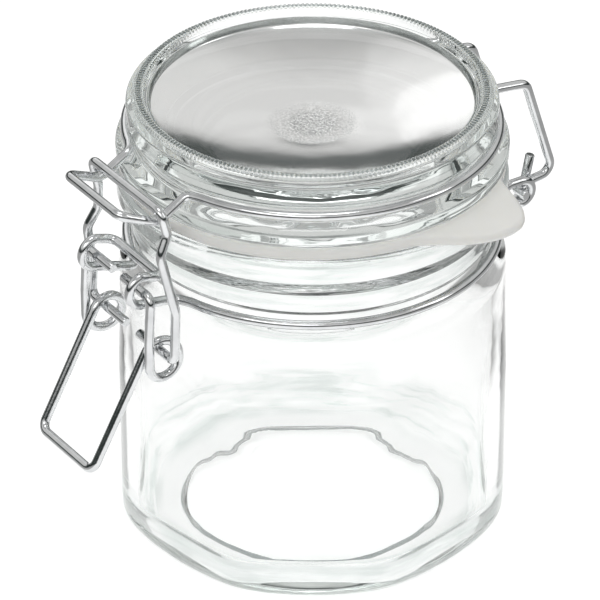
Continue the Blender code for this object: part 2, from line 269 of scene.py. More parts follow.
def make_jar(finish):
    inner = PANEL_APOTHEM - WALL
    inner_round = SHOULDER_RADIUS - WALL
    dome = PUSH_UP_RADIUS - 1.0
    foot = [(0.0, PUSH_UP, 0.0)]
    foot += [(dome * share / 12.0, PUSH_UP - (PUSH_UP - PUSH_UP_STEP) * (share / 12.0) ** 2, 0.0)
             for share in range(1, 12)]
    foot += [(dome, PUSH_UP_STEP, 0.4), (PUSH_UP_RADIUS, 0.0, 0.4)]
    wall = [(PANEL_APOTHEM, 0.0, HEEL_RADIUS)]
    for level in range(14, 70, 4):
        wall.append((PANEL_APOTHEM + (SHOULDER_RADIUS - PANEL_APOTHEM)
                     * smooth((level - PANEL_TOP) / (ROUND_FROM - PANEL_TOP)), float(level), 0.0))
    shoulder = [(SHOULDER_RADIUS, 77.3, 5.2), (NECK_RADIUS, 79.1, 0.8)]
    neck = [(NECK_RADIUS, 82.8, 1.0), (44.6, 84.2, 1.0), (44.6, 88.6, 1.4)]
    rim = [(RIM_RADIUS, 93.8, 1.8), (RIM_RADIUS, RIM_TOP, 2.2)]
    mouth = [(MOUTH_RADIUS, RIM_TOP, 1.4), (MOUTH_RADIUS, 80.5, 8.0), (inner_round, 73.2, 7.0)]
    inside = []
    for level in range(66, 18, -4):
        inside.append((inner + (inner_round - inner)
                       * smooth((level - PANEL_TOP) / (ROUND_FROM - PANEL_TOP)),
                       float(level), 0.0))
    floor = [(inner, INNER_HEEL_TOP, 4.0), (INNER_FLOOR_RADIUS, FLOOR_THICKNESS, 1.2),
             (15.0, FLOOR_THICKNESS, 0.0), (0.0, FLOOR_THICKNESS, 0.0)]
    profile = outline(foot + wall + shoulder + neck + rim + mouth + inside + floor)
    factors = {}

    def place(radius, height, angle):
        if angle not in factors:
            factors[angle] = panel_factor(angle)
        upward = 1.0 - smooth((height - PANEL_TOP) / (ROUND_FROM - PANEL_TOP))
        upward -= HEEL_ROUNDING * max(0.0, 1.0 - height / HEEL_RADIUS)
        outward = smooth((radius - 12.0) / 22.0)
        return radius * (1.0 + upward * outward * (factors[angle] - 1.0)), height

    return turned("jar_glass", profile, BODY_STEPS, place, finish)


def make_lid(finish):
    sag = DISH_EDGE - DISH_CENTRE
    dish = [(0.0, DISH_CENTRE, 0.0)]
    for share in [step / 24.0 for step in range(1, 24)]:
        radius = DISH_RADIUS * share
        outside = smooth((radius - SPOT_RADIUS + 2.5) / 5.0)
        dish.append((radius, DISH_CENTRE + sag * share * share + SPOT_DEPTH * outside, 0.0))
    dish += [(DISH_RADIUS, DISH_EDGE + SPOT_DEPTH, 0.5), (DISH_RADIUS + 0.2, DISH_LIP, 0.15),
             (DISH_RADIUS + 0.65, DISH_LIP - 0.7, 0.15)]
    bead = [(DISH_RADIUS + 1.2, DISH_LIP + 0.2, 0.3), (41.1, LID_TOP, 0.6), (42.8, LID_TOP, 0.8),
            (43.5, 118.8, 0.9), (LID_RIM_RADIUS, 117.9, 1.0)]
    groove = [(LID_RIM_RADIUS, 113.2, 0.9), (43.7, 112.2, 1.2), (43.7, 109.0, 1.2)]
    flange = [(46.2, 107.9, 2.0), (LID_FLANGE_RADIUS, 106.8, 1.2),
              (LID_FLANGE_RADIUS, 103.6, 1.4), (46.0, LID_BOTTOM, 0.6)]
    plug_bottom = LID_BOTTOM - PLUG_DEPTH
    plug = [(PLUG_RADIUS, LID_BOTTOM, 0.8), (PLUG_RADIUS - 0.6, plug_bottom, 0.9),
            (PLUG_RADIUS - 4.0, plug_bottom, 1.4), (PLUG_RADIUS - 6.2, plug_bottom + 6.2, 4.0)]
    underside = [(DISH_RADIUS * share / 16.0,
                  DISH_CENTRE - LID_THICKNESS + 0.75 * sag * (share / 16.0) ** 2, 0.0)
                 for share in range(10, 0, -1)]
    profile = outline(dish + bead + groove + flange + plug + underside
                      + [(0.0, DISH_CENTRE - LID_THICKNESS, 0.0)], LID_BEND_STEP)

    def place(radius, height, angle):
        crest = smooth((height - LID_TOP + 1.3) / 0.9)
        tooth = 0.5 + 0.5 * cos(TEETH * angle)
        return radius, height - TOOTH_DEPTH * crest * tooth

    return turned("lid_glass", profile, LID_STEPS, place, finish)


def tab_share(angle):
    """0 round the ring and 1 at the tip of the pull tab."""
    turn = (angle - TAB_TURN + pi) % (2.0 * pi) - pi
    off = turn / TAB_FAR_ANGLE if turn > 0.0 else -turn / TAB_NEAR_ANGLE
    if off >= 1.0:
        return 0.0
    return cos(0.5 * pi * off) ** 1.6


def make_gasket(finish):
    bottom = RIM_TOP + GAP
    top = bottom + GASKET_THICKNESS
    soft = 0.7
    verts = []
    count = 0
    for step in range(GASKET_STEPS):
        angle = 2.0 * pi * step / GASKET_STEPS
        share = tab_share(angle)
        outer = GASKET_OUTER + TAB_REACH * share
        droop = TAB_DROOP * share
        section = rounded([(GASKET_INNER + 2.0, 0.0, top, 0.0),
                           (GASKET_OUTER - 2.2, 0.0, top, 1.0),
                           (outer, 0.0, top - droop - soft * share, soft),
                           (outer, 0.0, bottom - droop, soft),
                           (GASKET_OUTER - 2.2, 0.0, bottom, 1.0),
                           (GASKET_INNER, 0.0, bottom, 0.5),
                           (GASKET_INNER, 0.0, top, 0.5),
                           (GASKET_INNER + 1.0, 0.0, top, 0.0)])
        section = resampled(section, 40)
        count = len(section)
        for point in section:
            verts.append((point.x * cos(angle), point.x * sin(angle), point.z))
    faces = []
    for step in range(GASKET_STEPS):
        following = (step + 1) % GASKET_STEPS
        for index in range(count):
            nearby = (index + 1) % count
            faces.append((step * count + nearby, step * count + index,
                          following * count + index, following * count + nearby))
    return mesh_piece("seal_ring", verts, faces, finish)


def resampled(points, count):
    """The same path with count points, evenly spaced."""
    lengths = [0.0]
    for here, ahead in zip(points, points[1:]):
        lengths.append(lengths[-1] + (ahead - here).length)
    even = []
    index = 0
    for step in range(count):
        wanted = lengths[-1] * step / (count - 1)
        while index < len(points) - 2 and lengths[index + 1] < wanted:
            index += 1
        span = max(lengths[index + 1] - lengths[index], 1e-9)
        even.append(points[index].lerp(points[index + 1], (wanted - lengths[index]) / span))
    return even


def ring_arc(radius, height, start, end):
    steps = ceil(abs(end - start) / RING_STEP)
    return [Vector((radius * cos(start + (end - start) * step / steps),
                    radius * sin(start + (end - start) * step / steps), height))
            for step in range(steps + 1)]


def mirrored(points):
    return [Vector((-point.x, point.y, point.z)) for point in reversed(points)]


def make_wire(name, points, finish):
    """A wire along points, with a small chamfer at each cut end."""
    first = points[0] + (points[1] - points[0]).normalized() * END_CHAMFER
    last = points[-1] + (points[-2] - points[-1]).normalized() * END_CHAMFER
    path = [points[0], first] + points[1:-1] + [last, points[-1]]
    curve = bpy.data.curves.new(name, "CURVE")
    curve.dimensions = "3D"
    curve.bevel_depth = WIRE_RADIUS * MM
    curve.bevel_resolution = WIRE_BEVEL_RESOLUTION
    curve.use_fill_caps = True
    spline = curve.splines.new("POLY")
    spline.points.add(len(path) - 1)
    for place, point in zip(spline.points, path):
        place.co = (point.x * MM, point.y * MM, point.z * MM, 1.0)
    spline.points[0].radius = 0.82
    spline.points[-1].radius = 0.82
    spline.use_smooth = True
    curve.materials.append(finish)
    return link(bpy.data.objects.new(name, curve))


def side_arc(x, centre_y, centre_z, radius, outward):
    """Half a turn round an eyelet, from its top to its bottom, without its two ends.
    outward is -1.0 at the clip and 1.0 at the hinge."""
    turns = [radians(turn) for turn in range(9, 180, 9)]
    return [Vector((x, centre_y + outward * radius * sin(turn), centre_z + radius * cos(turn)))
            for turn in turns]


def lid_wire_points():
    ring = LID_WIRE_RING
    height = LID_GROOVE_HEIGHT
    front_angle = -pi / 2.0 + asin(LID_LOOP_X / ring) + RING_CLEARANCE
    rear_angle = pi / 2.0 - asin(REAR_LEG_X / ring) - RING_CLEARANCE
    front = [(0.0, LID_LOOP_END_Y, LID_LOOP_END_Z, 0.0),
             (LID_LOOP_X - 0.8, LID_LOOP_END_Y, LID_LOOP_END_Z, SMALL_BEND),
             (LID_LOOP_X, *LID_LOOP_VALLEY, WIDE_BEND),
             (LID_LOOP_X, LID_LOOP_START_Y, height, SMALL_BEND),
             (ring * cos(front_angle), ring * sin(front_angle), height, 0.0)]
    rear = [(ring * cos(rear_angle), ring * sin(rear_angle), height, 0.0),
            (REAR_LEG_X, REAR_START_Y, height, SMALL_BEND),
            (REAR_LEG_X, *REAR_LEG_BENDS[0], BEND),
            (REAR_LEG_X, *REAR_LEG_BENDS[1], BEND),
            (REAR_LEG_X, HINGE_Y, HINGE_Z, 1.5),
            (REAR_EYELET_X + 2.0 * WIRE_RADIUS, HINGE_Y, HINGE_Z, 0.0)]
    side = rounded(front)[:-1] + ring_arc(ring, height, front_angle, rear_angle) + rounded(rear)[1:]
    return mirrored(side) + side[1:]


def neck_wire_points():
    ring = NECK_WIRE_RING
    height = NECK_GROOVE_HEIGHT
    front_x = EYELET_X - 1.4
    rear_x = REAR_EYELET_X - 0.2
    front_angle = -pi / 2.0 + asin(front_x / ring) + RING_CLEARANCE
    rear_angle = pi / 2.0 - asin(rear_x / ring) - RING_CLEARANCE
    start = rounded([(0.0, CROSSBAR_Y, CROSSBAR_Z, 0.0),
                     (EYELET_X, CROSSBAR_Y, CROSSBAR_Z, 2.2),
                     (EYELET_X, EYELET_Y, EYELET_Z + EYELET_RADIUS, 0.0)])
    eyelet = side_arc(EYELET_X, EYELET_Y, EYELET_Z, EYELET_RADIUS, -1.0)
    into_groove = rounded([(EYELET_X, EYELET_Y, EYELET_Z - EYELET_RADIUS, 0.0),
                           (front_x + 0.6, -50.6, 82.2, WIDE_BEND),
                           (front_x, -45.8, height, SMALL_BEND),
                           (ring * cos(front_angle), ring * sin(front_angle), height, 0.0)])
    out_of_groove = rounded([(ring * cos(rear_angle), ring * sin(rear_angle), height, 0.0),
                             (rear_x, REAR_START_Y, height, SMALL_BEND),
                             (REAR_EYELET_X, 48.6, HINGE_Z + REAR_EYELET_RADIUS, BEND),
                             (REAR_EYELET_X, HINGE_Y, HINGE_Z + REAR_EYELET_RADIUS, 0.0)])
    loop = side_arc(REAR_EYELET_X, HINGE_Y, HINGE_Z, REAR_EYELET_RADIUS, 1.0)
    tail = rounded([(REAR_EYELET_X, HINGE_Y, HINGE_Z - REAR_EYELET_RADIUS, 0.0),
                    (REAR_EYELET_X - 1.0, HINGE_Y - 1.6, HINGE_Z - REAR_EYELET_RADIUS, 0.0),
                    (TAIL_X, TAIL_Y, HINGE_Z - REAR_EYELET_RADIUS, 2.0),
                    (TAIL_X, *TAIL_TOP, 0.0)])
    side = (start + eyelet + into_groove[:-1] + ring_arc(ring, height, front_angle, rear_angle)
            + out_of_groove[1:] + loop + tail)
    return mirrored(side) + side[1:]


def lever_points():
    sweep = 2.0 * pi - HANDLE_SLANT
    steps = 40
    stub = rounded([(LEVER_STUB_END_X, PIVOT_Y, PIVOT_Z, 0.0),
                    (LEVER_X, PIVOT_Y, PIVOT_Z, 2.2),
                    (LEVER_X, COIL_Y - COIL_RADIUS, COIL_Z + 7.0, WIDE_BEND),
                    (LEVER_X, COIL_Y - COIL_RADIUS, COIL_Z + 2.0, 0.0)])
    coil = []
    for step in range(steps + 1):
        turn = sweep * step / steps
        coil.append(Vector((LEVER_X + (COIL_END_X - LEVER_X) * step / steps,
                            COIL_Y - COIL_RADIUS * cos(turn), COIL_Z - COIL_RADIUS * sin(turn))))
    leave = coil[-1]
    end_y = leave.y - HANDLE_LENGTH * sin(HANDLE_SLANT)
    end_z = leave.z - HANDLE_LENGTH * cos(HANDLE_SLANT)
    handle = rounded([(*leave, 0.0), (HANDLE_END_X, end_y, end_z, 2.6), (0.0, end_y, end_z, 0.0)])
    side = stub + coil + handle[1:]
    return side + mirrored(side)[1:]


def bail_points():
    left_end = [(-BAIL_PIN_END_X, BAIL_PIN_Y, BAIL_PIN_Z, 0.0),
                (-BAIL_X, BAIL_PIN_Y, BAIL_PIN_Z, 2.2)]
    right_end = [(BAIL_X, BAIL_PIN_Y, BAIL_PIN_Z, 2.2),
                 (BAIL_PIN_END_X, BAIL_PIN_Y, BAIL_PIN_Z, 0.0)]
    crossbar = [(-BAIL_TOP_X, BAIL_TOP_Y, BAIL_TOP_Z, SMALL_BEND),
                (BAIL_TOP_X, BAIL_TOP_Y, BAIL_TOP_Z, SMALL_BEND)]
    return rounded(left_end + BAIL_LEFT_BENDS + crossbar + BAIL_RIGHT_BENDS[::-1] + right_end)


# Materials. The lengths here are in metres, as texture coordinates are.

JAR_WAVE = 0.00022              # height of the slow waves in the surface
LID_WAVE = 0.0002
JAR_HELD_BOUNCES = 5            # reflections after which a path goes straight on through the glass
LID_HELD_BOUNCES = 3
STREAK_HEIGHT = 0.00003
LID_STREAK_TINT = (0.955, 0.965, 0.96, 1.0)
HEEL_STREAK_TINT = (0.73, 0.77, 0.755, 1.0)
STREAKED_HEEL = (0.010, 0.018)  # heights between which the heel's streaks fade out
STREAKED_NECK = (0.078, 0.086)  # and the neck's fade in
STREAKED_EDGE = (0.030, 0.040)  # distances from the axis between which the lid's fade in
STIPPLED_FOOT = 0.0006          # the ring that the jar stands on is rough up to this height
# Painted shade: a dark line in the glass's colour at the step under the foot stands in for the dark
# edge its steep wall shows through clear glass.
FOOT_STEP = (0.0307, 0.0319)    # a dark line at the step under the foot
PAINTED_SHADE_LINE = (0.10, 0.12, 0.12, 1.0)
DISH_MIRROR = 0.92
DISH_MIRROR_RADIUS = 0.0394
DISH_MIRROR_BOTTOM = 0.1088
# Painted shade: the dish's short wall gets a darker colour that dims its mirror.
DISH_WALL = (0.0391, 0.0396)
DISH_WALL_BOTTOM = 0.1163
DISH_WALL_PAINTED_SHADE = (0.62, 0.65, 0.64, 1.0)
# Painted shade: a dark line in the glass's colour in the groove stands in for the light the glass
# reflects back inside itself there.
DISH_LINE = (0.03955, 0.03985)  # a dark line in the groove between the dish and the teeth
DISH_LINE_BOTTOM = 0.1172
# Painted shade: the valleys between the teeth are darker in colour.
TOOTHED = (0.0413, 0.0426)
TOOTH_VALLEYS = (0.1192, 0.1203)
LID_OUTSIDE = 0.0432
# Height and half the width of the fine lines of painted shade along the lid's outer edges, where
# creases in clear glass show dark
LID_CREASE_SHADE_LINES = [(0.1178, 0.00014), (0.1153, 0.00010), (0.1134, 0.00020), (0.1067, 0.00022),
               (0.1041, 0.00030)]
LINE_SOFTNESS = 0.0001
STIPPLE_RADIUS = 0.0085         # rough patch in the middle of the lid
STIPPLE_TINT = (0.60, 0.60, 0.60, 1.0)


def new_material(name):
    made = bpy.data.materials.new(name)
    made.use_nodes = True
    tree = made.node_tree
    return made, tree, tree.nodes["Principled BSDF"], tree.nodes["Material Output"]


def add_node(tree, kind, **values):
    made = tree.nodes.new(kind)
    for key, value in values.items():
        if key in made.inputs:
            made.inputs[key].default_value = value
        else:
            setattr(made, key, value)
    return made


def object_coordinates(tree):
    return tree.nodes.new("ShaderNodeTexCoord").outputs["Object"]


def ramp(tree, source, low, high, low_value, high_value):
    """source from low to high, as a value from low_value to high_value."""
    made = tree.nodes.new("ShaderNodeMapRange")
    made.inputs["From Min"].default_value = low
    made.inputs["From Max"].default_value = high
    made.inputs["To Min"].default_value = low_value
    made.inputs["To Max"].default_value = high_value
    tree.links.new(source, made.inputs["Value"])
    return made.outputs["Result"]


def product(tree, first, second):
    made = add_node(tree, "ShaderNodeMath", operation="MULTIPLY")
    tree.links.new(first, made.inputs[0])
    tree.links.new(second, made.inputs[1])
    return made.outputs["Value"]


def larger(tree, first, second):
    made = add_node(tree, "ShaderNodeMath", operation="MAXIMUM")
    tree.links.new(first, made.inputs[0])
    tree.links.new(second, made.inputs[1])
    return made.outputs["Value"]


def band(tree, source, low, high, soft):
    """1 where the source is between low and high, else 0."""
    return product(tree, ramp(tree, source, low - soft, low + soft, 0.0, 1.0),
                   ramp(tree, source, high - soft, high + soft, 1.0, 0.0))


def blend(tree, share, first, second):
    """The second colour over the first. Either is a colour or a socket. Sockets 6 and 7 of the
    node are its two colours."""
    made = add_node(tree, "ShaderNodeMix", data_type="RGBA")
    tree.links.new(share, made.inputs[0])
    for socket, colour in ((made.inputs[6], first), (made.inputs[7], second)):
        if isinstance(colour, tuple):
            socket.default_value = colour
        else:
            tree.links.new(colour, socket)
    return made.outputs[2]


def axis_distance(tree, place):
    flat = add_node(tree, "ShaderNodeVectorMath", operation="MULTIPLY")
    flat.inputs[1].default_value = (1.0, 1.0, 0.0)
    tree.links.new(place, flat.inputs[0])
    reach = add_node(tree, "ShaderNodeVectorMath", operation="LENGTH")
    tree.links.new(flat.outputs["Vector"], reach.inputs[0])
    return reach.outputs["Value"]


def glass_material(name, wave_height, held_bounces):
    """Clear moulded glass with slow waves in its surface, faintly green where it is thick.
    The renderer turns a path black after a few reflections, so after held_bounces of them the
    path goes straight on instead."""
    made, tree, shader, output = new_material(name)
    shader.inputs["Base Color"].default_value = (1.0, 1.0, 1.0, 1.0)
    shader.inputs["IOR"].default_value = 1.5
    shader.inputs["Transmission Weight"].default_value = 1.0
    place = object_coordinates(tree)
    drawn = add_node(tree, "ShaderNodeVectorMath", operation="MULTIPLY")
    drawn.inputs[1].default_value = (1.0, 1.0, 0.35)
    tree.links.new(place, drawn.inputs[0])
    wave = add_node(tree, "ShaderNodeTexNoise", Scale=70.0, Detail=1.5, Roughness=0.4)
    tree.links.new(drawn.outputs["Vector"], wave.inputs["Vector"])
    bump = add_node(tree, "ShaderNodeBump", Strength=1.0, Distance=wave_height)
    tree.links.new(wave.outputs["Fac"], bump.inputs["Height"])
    tree.links.new(bump.outputs["Normal"], shader.inputs["Normal"])
    absorb = add_node(tree, "ShaderNodeVolumeAbsorption", Color=(0.66, 0.78, 0.74, 1.0),
                      Density=4.5)
    tree.links.new(absorb.outputs["Volume"], output.inputs["Volume"])
    clear = add_node(tree, "ShaderNodeBsdfTransparent", Color=(0.985, 0.99, 0.987, 1.0))
    path = tree.nodes.new("ShaderNodeLightPath")
    mix = tree.nodes.new("ShaderNodeMixShader")
    deep = ramp(tree, path.outputs["Glossy Depth"], held_bounces - 0.6, held_bounces - 0.4,
                0.0, 1.0)
    tree.links.new(larger(tree, path.outputs["Is Shadow Ray"], deep), mix.inputs["Fac"])
    tree.links.new(shader.outputs["BSDF"], mix.inputs[1])
    tree.links.new(clear.outputs["BSDF"], mix.inputs[2])
    tree.links.new(mix.outputs["Shader"], output.inputs["Surface"])
    return made, tree, shader, place, bump


def add_streaks(tree, shader, place, normal, where, streak_tint):
    """Drawn-out ripples and tinted streaks round the thick parts of moulded glass, where the
    factor is above 0."""
    stretched = add_node(tree, "ShaderNodeVectorMath", operation="MULTIPLY")
    stretched.inputs[1].default_value = (60.0, 60.0, 520.0)
    tree.links.new(place, stretched.inputs[0])
    ripple = add_node(tree, "ShaderNodeTexNoise", Scale=1.0, Detail=2.0, Distortion=0.4)
    tree.links.new(stretched.outputs["Vector"], ripple.inputs["Vector"])
    bump = add_node(tree, "ShaderNodeBump", Strength=1.0, Distance=STREAK_HEIGHT)
    shade = product(tree, ramp(tree, ripple.outputs["Fac"], 0.40, 0.62, 0.0, 1.0), where)
    tree.links.new(blend(tree, shade, (1.0, 1.0, 1.0, 1.0), streak_tint),
                   shader.inputs["Base Color"])
    tree.links.new(product(tree, ripple.outputs["Fac"], where), bump.inputs["Height"])
    tree.links.new(normal, bump.inputs["Normal"])
    tree.links.new(bump.outputs["Normal"], shader.inputs["Normal"])
    return bump


def jar_glass_material():
    """Clear glass with small seeds in it, streaks in the heel and neck, a rough ring under the
    foot, and a line of painted shade at the step under the foot."""
    made, tree, shader, place, bump = glass_material("jar_glass", JAR_WAVE, JAR_HELD_BOUNCES)
    seeds = add_node(tree, "ShaderNodeTexNoise", Scale=420.0, Detail=2.0)
    tree.links.new(place, seeds.inputs["Vector"])
    clear = ramp(tree, seeds.outputs["Fac"], 0.55, 0.8, 0.0, 0.03)
    parts = tree.nodes.new("ShaderNodeSeparateXYZ")
    tree.links.new(place, parts.inputs["Vector"])
    thick = add_node(tree, "ShaderNodeMath", operation="ADD")
    tree.links.new(ramp(tree, parts.outputs["Z"], *STREAKED_HEEL, 1.0, 0.0), thick.inputs[0])
    tree.links.new(ramp(tree, parts.outputs["Z"], *STREAKED_NECK, 0.0, 1.0), thick.inputs[1])
    reach = axis_distance(tree, place)
    thick = product(tree, thick.outputs["Value"], ramp(tree, reach, 0.036, 0.039, 0.0, 1.0))
    add_streaks(tree, shader, place, bump.outputs["Normal"], thick, HEEL_STREAK_TINT)
    # painted shade: the dark line at the step under the foot
    step = product(tree, band(tree, reach, *FOOT_STEP, LINE_SOFTNESS),
                   ramp(tree, parts.outputs["Z"], 0.0014, 0.0016, 1.0, 0.0))
    tint = shader.inputs["Base Color"].links[0].from_socket
    tree.links.new(blend(tree, step, tint, PAINTED_SHADE_LINE), shader.inputs["Base Color"])
    foot = ramp(tree, parts.outputs["Z"], 0.0, STIPPLED_FOOT, 0.5, 0.0)
    tree.links.new(larger(tree, clear, foot), shader.inputs["Roughness"])
    return made


def lid_glass_material():
    """Pressed glass. The dish mirrors the room from outside, as thick glass over an air space
    does. Painted shade: dark lines in the glass's colour stand in for what creases and the
    groove in clear glass show, the tooth valleys are darker and the dish's wall is darkened."""
    made, tree, shader, place, bump = glass_material("lid_glass", LID_WAVE, LID_HELD_BOUNCES)
    edge = ramp(tree, axis_distance(tree, place), *STREAKED_EDGE, 0.0, 1.0)
    along = add_node(tree, "ShaderNodeTexNoise", Scale=45.0, Detail=2.0)
    tree.links.new(place, along.inputs["Vector"])
    broken = ramp(tree, along.outputs["Fac"], 0.40, 0.58, 0.15, 0.85)
    streaked = add_streaks(tree, shader, place, bump.outputs["Normal"], edge, LID_STREAK_TINT)
    frosted = stipple_patch(tree, shader, place, streaked)
    parts = tree.nodes.new("ShaderNodeSeparateXYZ")
    tree.links.new(place, parts.inputs["Vector"])
    reach = axis_distance(tree, place)
    top_side = ramp(tree, parts.outputs["Z"], DISH_MIRROR_BOTTOM, DISH_MIRROR_BOTTOM + 0.0006,
                    0.0, 1.0)
    in_dish = ramp(tree, reach, DISH_MIRROR_RADIUS, DISH_MIRROR_RADIUS + 0.0001, DISH_MIRROR, 0.0)
    line = product(tree, band(tree, reach, *DISH_LINE, 0.5 * LINE_SOFTNESS),
                   ramp(tree, parts.outputs["Z"], DISH_LINE_BOTTOM, DISH_LINE_BOTTOM + 0.0003,
                        0.0, 1.0))
    creases = None
    for height, half in LID_CREASE_SHADE_LINES:
        thin = band(tree, parts.outputs["Z"], height - half, height + half, 0.00006)
        creases = larger(tree, thin, creases) if creases else thin
    outer = ramp(tree, reach, LID_OUTSIDE, LID_OUTSIDE + 0.0002, 0.0, 1.0)
    line = larger(tree, line, product(tree, product(tree, creases, outer), broken))
    tooth_valley_shade = product(tree, band(tree, reach, *TOOTHED, LINE_SOFTNESS),
                            band(tree, parts.outputs["Z"], *TOOTH_VALLEYS, LINE_SOFTNESS))
    wall = product(tree, band(tree, reach, *DISH_WALL, LINE_SOFTNESS),
                   ramp(tree, parts.outputs["Z"], DISH_WALL_BOTTOM, DISH_WALL_BOTTOM + 0.0003,
                        0.0, 1.0))
    # painted shade: darker colours on the dish's wall, in the groove, along the creases and in the
    # tooth valleys
    tint = shader.inputs["Base Color"].links[0].from_socket
    tint = blend(tree, wall, tint, DISH_WALL_PAINTED_SHADE)
    tree.links.new(blend(tree, larger(tree, line, tooth_valley_shade), tint, PAINTED_SHADE_LINE),
                   shader.inputs["Base Color"])
    outside = ramp(tree, tree.nodes.new("ShaderNodeNewGeometry").outputs["Backfacing"],
                   0.0, 1.0, 1.0, 0.0)
    mirror = product(tree, product(tree, top_side, in_dish), outside)
    tree.links.new(mirror, shader.inputs["Metallic"])
    tree.links.new(larger(tree, frosted, ramp(tree, mirror, 0.0, DISH_MIRROR, 0.0, 0.11)),
                   shader.inputs["Roughness"])
    return made


def stipple_patch(tree, shader, place, bump):
    """A rough round patch on the axis: coarse grains, frosted in the middle. Returns how rough
    it is."""
    grain = add_node(tree, "ShaderNodeTexNoise", Scale=1700.0, Detail=2.0, Roughness=0.6)
    tree.links.new(place, grain.inputs["Vector"])
    ragged = add_node(tree, "ShaderNodeMath", operation="MULTIPLY_ADD")
    ragged.inputs[1].default_value = 0.006
    tree.links.new(grain.outputs["Fac"], ragged.inputs[0])
    tree.links.new(axis_distance(tree, place), ragged.inputs[2])
    inside = ramp(tree, ragged.outputs["Value"], STIPPLE_RADIUS, STIPPLE_RADIUS + 0.005, 1.0, 0.0)
    shade = product(tree, ramp(tree, grain.outputs["Fac"], 0.42, 0.62, 0.0, 1.0), inside)
    tint = shader.inputs["Base Color"].links[0].from_socket
    tree.links.new(blend(tree, shade, tint, STIPPLE_TINT), shader.inputs["Base Color"])
    rough = add_node(tree, "ShaderNodeBump", Strength=1.0, Distance=0.0005)
    tree.links.new(product(tree, inside, grain.outputs["Fac"]), rough.inputs["Height"])
    tree.links.new(bump.outputs["Normal"], rough.inputs["Normal"])
    tree.links.new(rough.outputs["Normal"], shader.inputs["Normal"])
    return ramp(tree, inside, 0.0, 1.0, 0.0, 0.24)


def silicone_material():
    """Off-white translucent silicone with a faint mottle and a satin skin."""
    made, tree, shader, _ = new_material("silicone")
    place = object_coordinates(tree)
    mottle = add_node(tree, "ShaderNodeTexNoise", Scale=90.0, Detail=4.0, Roughness=0.6)
    tree.links.new(place, mottle.inputs["Vector"])
    colours = tree.nodes.new("ShaderNodeValToRGB")
    colours.color_ramp.elements[0].color = (0.80, 0.795, 0.765, 1.0)
    colours.color_ramp.elements[1].color = (0.88, 0.875, 0.85, 1.0)
    tree.links.new(mottle.outputs["Fac"], colours.inputs["Fac"])
    tree.links.new(colours.outputs["Color"], shader.inputs["Base Color"])
    shader.inputs["Subsurface Weight"].default_value = 0.6
    shader.inputs["Subsurface Radius"].default_value = (1.0, 0.95, 0.85)
    shader.inputs["Subsurface Scale"].default_value = 0.004
    shader.inputs["IOR"].default_value = 1.41
    tree.links.new(ramp(tree, mottle.outputs["Fac"], 0.3, 0.7, 0.42, 0.55),
                   shader.inputs["Roughness"])
    skin = add_node(tree, "ShaderNodeTexNoise", Scale=900.0, Detail=3.0)
    tree.links.new(place, skin.inputs["Vector"])
    bump = add_node(tree, "ShaderNodeBump", Strength=0.35, Distance=0.0001)
    tree.links.new(skin.outputs["Fac"], bump.inputs["Height"])
    tree.links.new(bump.outputs["Normal"], shader.inputs["Normal"])
    return made


def steel_material():
    """Bright plated wire: mirror-like, with faint draw marks and dull specks."""
    made, tree, shader, _ = new_material("bright_wire")
    place = object_coordinates(tree)
    cloud = add_node(tree, "ShaderNodeTexNoise", Scale=160.0, Detail=4.0, Roughness=0.6)
    tree.links.new(place, cloud.inputs["Vector"])
    colours = tree.nodes.new("ShaderNodeValToRGB")
    colours.color_ramp.elements[0].position = 0.3
    colours.color_ramp.elements[0].color = (0.62, 0.63, 0.64, 1.0)
    colours.color_ramp.elements[1].position = 0.7
    colours.color_ramp.elements[1].color = (0.80, 0.81, 0.82, 1.0)
    tree.links.new(cloud.outputs["Fac"], colours.inputs["Fac"])
    tree.links.new(colours.outputs["Color"], shader.inputs["Base Color"])
    shader.inputs["Metallic"].default_value = 1.0
    tree.links.new(ramp(tree, cloud.outputs["Fac"], 0.3, 0.75, 0.07, 0.18),
                   shader.inputs["Roughness"])
    marks = add_node(tree, "ShaderNodeTexNoise", Scale=1500.0, Detail=2.0)
    tree.links.new(place, marks.inputs["Vector"])
    bump = add_node(tree, "ShaderNodeBump", Strength=0.25, Distance=0.00006)
    tree.links.new(marks.outputs["Fac"], bump.inputs["Height"])
    tree.links.new(bump.outputs["Normal"], shader.inputs["Normal"])
    return made


# Setting

